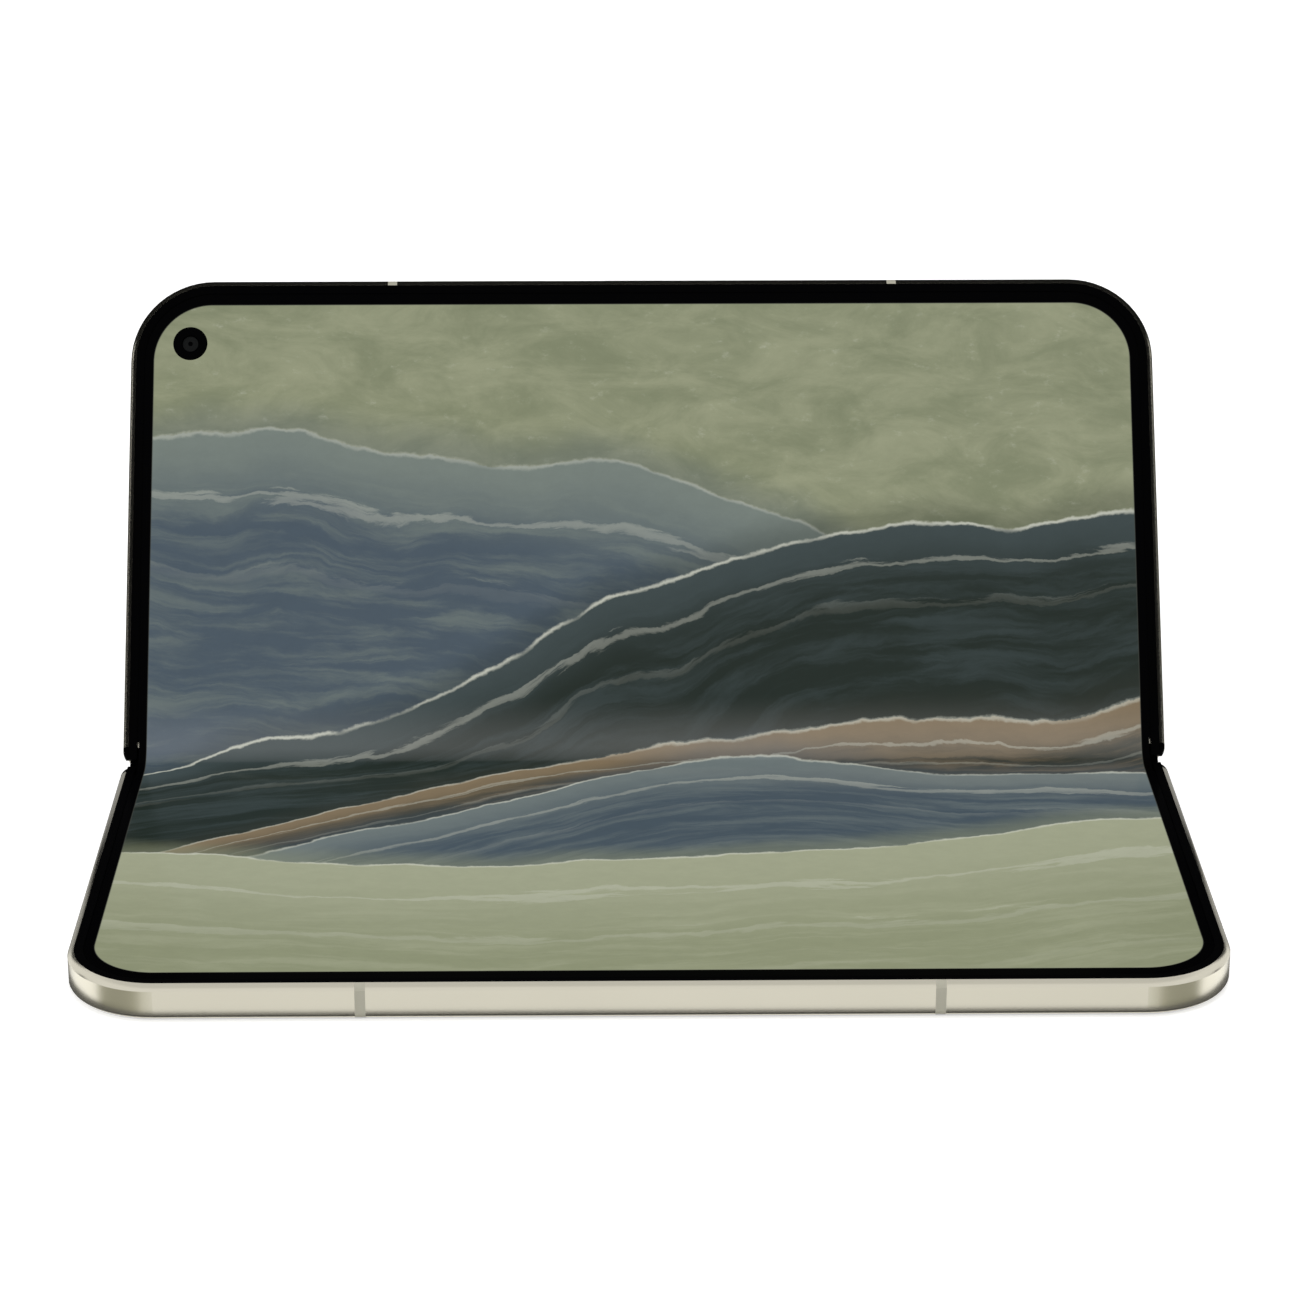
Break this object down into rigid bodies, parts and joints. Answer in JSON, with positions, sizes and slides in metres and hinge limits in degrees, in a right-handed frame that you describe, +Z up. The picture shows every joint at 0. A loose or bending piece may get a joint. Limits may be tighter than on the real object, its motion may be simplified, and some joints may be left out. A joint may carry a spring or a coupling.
{
  "type": "foldable smartphone",
  "caption": "Book-style foldable phone: two slim screen halves on a geared two-axis spine hinge, standing half open on its lower half.",
  "frame": {"origin": "centre of the lower half's resting face, on the surface it lies on", "axes": "+X along the hinge, +Y from the lower half towards the leaning upper half, +Z up"},
  "size_m": [0.1552, 0.1179, 0.0679],
  "materials": {
    "frame_metal": "polished champagne",
    "antenna_plastic": "satin, colour matched",
    "bezel_black": "satin black",
    "screen": "glossy folding screen, lit",
    "plate": "satin",
    "cover_glass": "polished black-backed glass",
    "rear_glass": "satin etched glass",
    "flash": "ribbed lens",
    "module_black": "moulded",
    "cell": "laminate pouch",
    "board": "solder mask",
    "steel": "machined",
    "gear_brass": "machined",
    "copper": "wound copper",
    "flex": "polyimide film"
  },
  "bodies": {
    "lower_half": {"lower_frame": "frame_metal", "lower_antenna_bands": "antenna_plastic", "lower_bezel_trim": "bezel_black", "display_lower": "screen", "display_plate_lower": "plate", "cover_glass": "cover_glass", "cover_display_panel": "module_black", "cover_camera": "module_black", "battery_lower": "cell", "lower_board": "board", "top_speaker": "module_black", "sim_reader": "steel", "vibration_motor": "steel", "magnets_lower": "steel", "hinge_brackets_lower": "steel", "bracket_screws_lower": "steel"},
    "spine": {"spine_cover": "frame_metal", "spine_end_caps": "bezel_black", "hinge_base_left": "steel", "hinge_base_right": "steel", "hinge_shafts": "steel", "detent_plates": "steel", "disc_springs": "steel", "hinge_support_plate": "steel", "display_bend": "screen", "hinge_flex_cable": "flex"},
    "upper_half": {"upper_frame": "frame_metal", "upper_antenna_bands": "antenna_plastic", "upper_bezel_trim": "bezel_black", "display_upper": "screen", "display_plate_upper": "plate", "back_glass": "rear_glass", "camera_island": "frame_metal", "lens_rings": "frame_metal", "lens_glasses": "cover_glass", "main_camera": "module_black", "wide_camera": "module_black", "tele_camera": "module_black", "flash_lens": "flash", "main_board": "board", "board_shields": "steel", "board_screws": "steel", "battery_upper": "cell", "charging_coil": "copper", "usb_port": "steel", "charge_board": "board", "bottom_speaker": "module_black", "button_switches": "steel", "magnets_upper": "steel", "inner_camera": "module_black", "inner_camera_window": "cover_glass", "hinge_brackets_upper": "steel", "bracket_screws_upper": "steel"},
    "swing_arms_lower": {"swing_arms_lower": "gear_brass"},
    "swing_arms_upper": {"swing_arms_upper": "gear_brass"},
    "idler_gears_lower": {"idler_gears_lower": "gear_brass"},
    "idler_gears_upper": {"idler_gears_upper": "gear_brass"},
    "power_button": {"power_button": "frame_metal"},
    "volume_rocker": {"volume_rocker": "frame_metal"},
    "sim_tray": {"sim_tray": "frame_metal"}
  },
  "joints": [
    {"name": "fold_lower", "type": "hinge", "parent": "lower_half", "child": "spine", "pos_m": [0, 0.03608, 0.00378], "axis": [1, 0, 0], "range_deg": [-29, 61], "deforming": ["display_bend", "hinge_flex_cable"]},
    {"name": "fold_upper", "type": "hinge", "parent": "spine", "child": "upper_half", "pos_m": [0, 0.03866, 0.00521], "axis": [1, 0, 0], "range_deg": [-29, 61]},
    {"name": "arm_turn_lower", "type": "hinge", "parent": "spine", "child": "swing_arms_lower", "pos_m": [0, 0.03588, 0.00221], "axis": [1, 0, 0], "range_deg": [-61, 29]},
    {"name": "idler_turn_lower", "type": "hinge", "parent": "spine", "child": "idler_gears_lower", "pos_m": [0, 0.03728, 0.00299], "axis": [1, 0, 0], "range_deg": [-29, 61]},
    {"name": "idler_turn_upper", "type": "hinge", "parent": "spine", "child": "idler_gears_upper", "pos_m": [0, 0.03868, 0.00376], "axis": [1, 0, 0], "range_deg": [-61, 29]},
    {"name": "arm_turn_upper", "type": "hinge", "parent": "spine", "child": "swing_arms_upper", "pos_m": [0, 0.04008, 0.00454], "axis": [1, 0, 0], "range_deg": [-29, 61]},
    {"name": "power_press", "type": "slide", "parent": "upper_half", "child": "power_button", "axis": [0, -0.5299, -0.848], "range_m": [0, 0.00025], "stiffness_N_per_m": 6000},
    {"name": "volume_rock", "type": "hinge", "parent": "upper_half", "child": "volume_rocker", "pos_m": [-0.024, 0.07813, 0.06606], "axis": [0, -0.848, 0.5299], "range_deg": [-1.2, 1.2], "stiffness_Nm_per_rad": 0.6},
    {"name": "tray_slide", "type": "slide", "parent": "lower_half", "child": "sim_tray", "axis": [1, 0, 0], "range_m": [0, 0.018]}
  ],
  "couplings": [
    {"joint": "fold_upper", "follows": "fold_lower", "ratio": 1},
    {"joint": "arm_turn_lower", "follows": "fold_lower", "ratio": -1},
    {"joint": "idler_turn_lower", "follows": "fold_lower", "ratio": 1},
    {"joint": "idler_turn_upper", "follows": "fold_lower", "ratio": -1},
    {"joint": "arm_turn_upper", "follows": "fold_lower", "ratio": 1}
  ]
}
